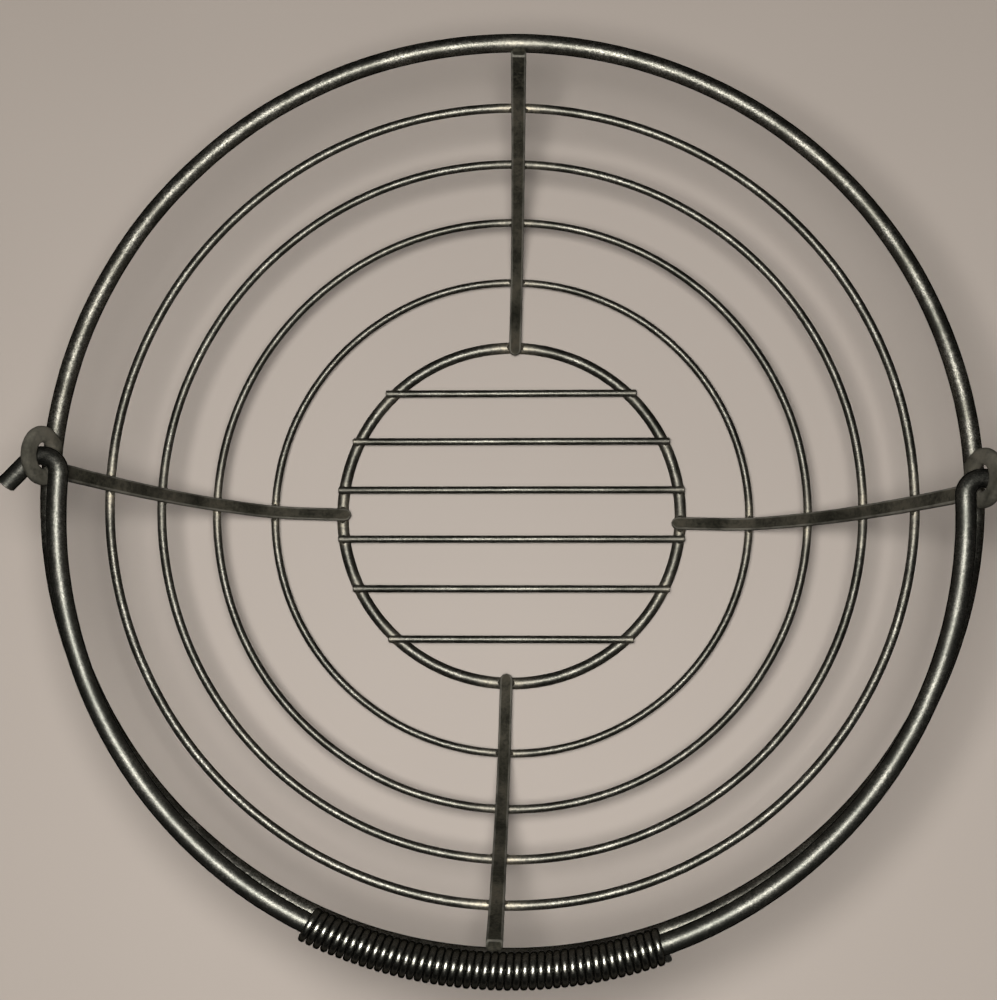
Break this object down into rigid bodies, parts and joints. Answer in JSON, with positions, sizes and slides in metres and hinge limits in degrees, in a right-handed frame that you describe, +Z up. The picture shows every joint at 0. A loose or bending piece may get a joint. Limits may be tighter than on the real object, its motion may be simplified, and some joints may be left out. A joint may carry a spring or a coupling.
{
  "type": "wire basket with bail handle",
  "caption": "Round open bowl-shaped basket of welded steel hoops and ribs, with a barred base and a swinging bail handle with a coiled wire grip.",
  "frame": {"origin": "middle of the base hoop on the surface that the basket stands on", "axes": "+X from one bail eye to the other, +Y away from the folded bail, +Z up"},
  "size_m": [0.3204, 0.3081, 0.133],
  "materials": {
    "lacquered_steel": "satin black lacquer over drawn steel, a little worn",
    "grip_wire": "satin black lacquer over spring wire"
  },
  "bodies": {
    "basket": {"rim_hoop": "lacquered_steel", "hoop_1": "lacquered_steel", "hoop_2": "lacquered_steel", "hoop_3": "lacquered_steel", "hoop_4": "lacquered_steel", "base_hoop": "lacquered_steel", "base_bar_1": "lacquered_steel", "base_bar_2": "lacquered_steel", "base_bar_3": "lacquered_steel", "base_bar_4": "lacquered_steel", "base_bar_5": "lacquered_steel", "base_bar_6": "lacquered_steel", "rib_front": "lacquered_steel", "rib_back": "lacquered_steel", "rib_left": "lacquered_steel", "rib_right": "lacquered_steel"},
    "bail": {"bail_rod": "lacquered_steel", "grip_coil": "grip_wire"}
  },
  "joints": [
    {"name": "bail_swing", "type": "hinge", "parent": "basket", "child": "bail", "pos_m": [0, 0, 0.12364], "axis": [-1, 0, 0], "range_deg": [0, 182.4]}
  ]
}
